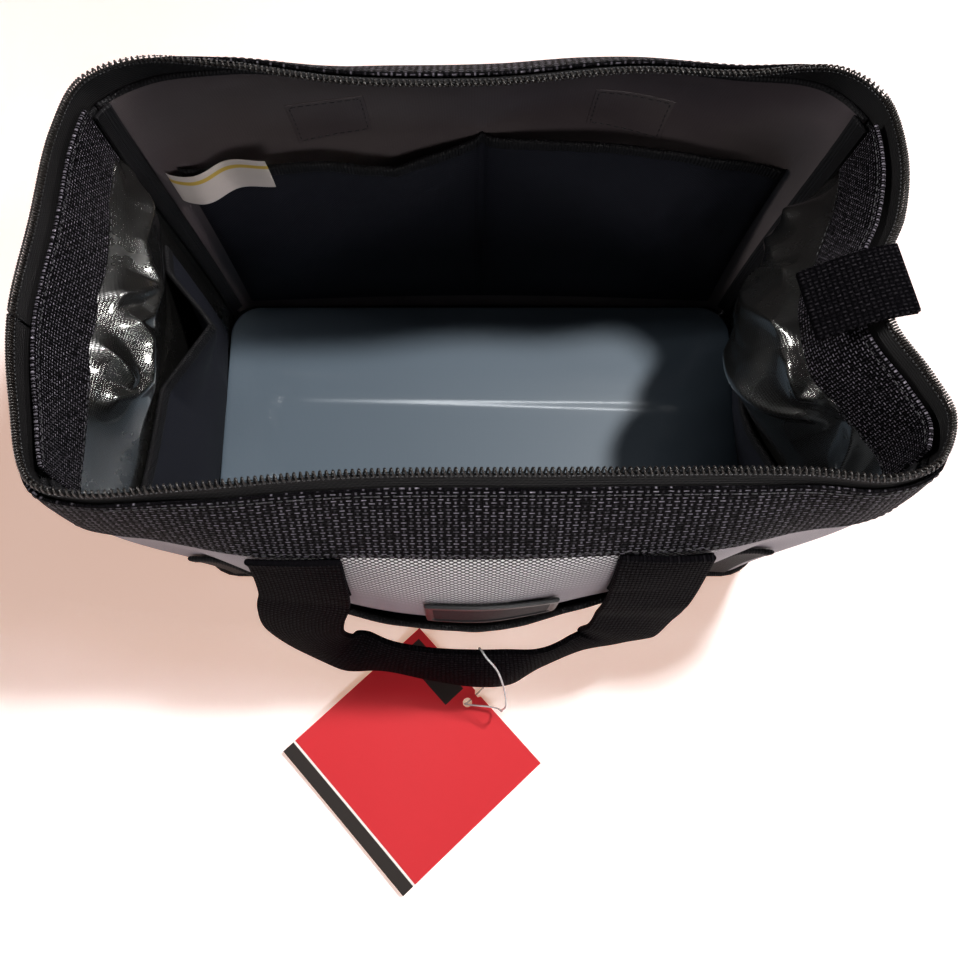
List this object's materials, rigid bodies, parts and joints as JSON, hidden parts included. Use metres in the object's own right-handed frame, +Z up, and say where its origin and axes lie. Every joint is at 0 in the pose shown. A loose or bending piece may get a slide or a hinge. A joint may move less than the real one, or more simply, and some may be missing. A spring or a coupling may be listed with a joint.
{
  "type": "zippered tool bag",
  "caption": "Open wide-mouthed soft tool bag with a zip round its mouth, two webbing handles, pockets inside and out and a blank hang tag.",
  "frame": {"origin": "centre of the flat underside of the base, on the surface that the bag stands on", "axes": "+X along the bag to the right, +Y to the back, +Z up; the front with the hang tag faces -Y"},
  "size_m": [0.3606, 0.4096, 0.2056],
  "materials": {
    "grey_cloth": "grey coated polyester of a plain weave, matt",
    "black_cloth": "black coated polyester of a plain weave, matt",
    "black_lining": "black coated cloth inside, soft sheen",
    "grey_vinyl": "blue-grey coated lining with a soft gloss",
    "stiff_board": "stiff sheet inside the base",
    "webbing": "heavy black woven webbing, 38 mm wide",
    "binding": "narrow black binding tape",
    "zip_tape": "smooth black zip tape",
    "zip_coil": "black nylon coil teeth with a faint brown sheen",
    "dark_metal": "dark lacquered cast metal",
    "badge_rubber": "dark moulded rubber patch, bare",
    "label_cloth": "white woven tape with one plain yellow stripe",
    "tag_card": "red coated card with a black and a white stripe, bare",
    "clear_nylon": "thin clear nylon filament"
  },
  "bodies": {
    "bag": {"front_panel": "grey_cloth", "back_panel": "grey_cloth", "left_end_panel": "black_cloth", "right_end_panel": "black_cloth", "base_panel": "black_cloth", "base_board": "stiff_board", "floor_lining": "grey_vinyl", "front_band": "webbing", "back_band": "webbing", "left_end_strip": "webbing", "right_end_strip": "webbing", "front_zip_tape": "zip_tape", "back_zip_tape": "zip_tape", "front_zip_teeth": "zip_coil", "back_zip_teeth": "zip_coil", "zip_closed_run": "zip_coil", "zip_bottom_stop": "webbing", "zip_end_tab": "webbing", "front_handle_left_foot": "webbing", "front_handle_right_foot": "webbing", "back_handle_left_foot": "webbing", "back_handle_right_foot": "webbing", "front_outer_pocket": "black_cloth", "back_outer_pocket": "black_cloth", "left_outer_pocket": "black_cloth", "right_outer_pocket": "black_cloth", "front_outer_pocket_binding": "binding", "back_outer_pocket_binding": "binding", "left_outer_pocket_binding": "binding", "right_outer_pocket_binding": "binding", "front_inner_pocket": "black_lining", "back_inner_pocket": "black_lining", "left_inner_pocket": "black_lining", "right_inner_pocket": "black_lining", "front_inner_pocket_binding": "binding", "back_inner_pocket_binding": "binding", "left_inner_pocket_binding": "binding", "right_inner_pocket_binding": "binding", "front_left_seam": "binding", "front_right_seam": "binding", "back_right_seam": "binding", "back_left_seam": "binding", "front_badge": "badge_rubber", "sewn_label": "label_cloth"},
    "front_handle": {"front_handle": "webbing"},
    "back_handle": {"back_handle": "webbing"},
    "tag": {"hang_tag": "tag_card", "tag_loop": "clear_nylon"},
    "slider": {"zip_slider": "dark_metal"},
    "pull": {"slider_pull": "dark_metal"}
  },
  "joints": [
    {"name": "front_handle_fold", "type": "hinge", "parent": "bag", "child": "front_handle", "pos_m": [0, -0.10797, 0.15556], "axis": [-1, 0, 0], "range_deg": [0, 155]},
    {"name": "back_handle_fold", "type": "hinge", "parent": "bag", "child": "back_handle", "pos_m": [0, 0.11708, 0.15896], "axis": [1, 0, 0], "range_deg": [0, 155]},
    {"name": "tag_swing", "type": "hinge", "parent": "front_handle", "child": "tag", "pos_m": [0, -0.14097, 0.05056], "axis": [-1, 0, 0], "range_deg": [0, 100], "deforming": ["tag_loop"]},
    {"name": "slider_travel", "type": "slide", "parent": "bag", "child": "slider", "axis": [0.2294, 0.0091, -0.9733], "range_m": [0, 0.018], "deforming": ["zip_closed_run"]},
    {"name": "pull_swing", "type": "hinge", "parent": "slider", "child": "pull", "pos_m": [-0.18278, -0.02028, 0.18266], "axis": [-0.011, 0.9999, 0], "range_deg": [-15, 140]}
  ]
}
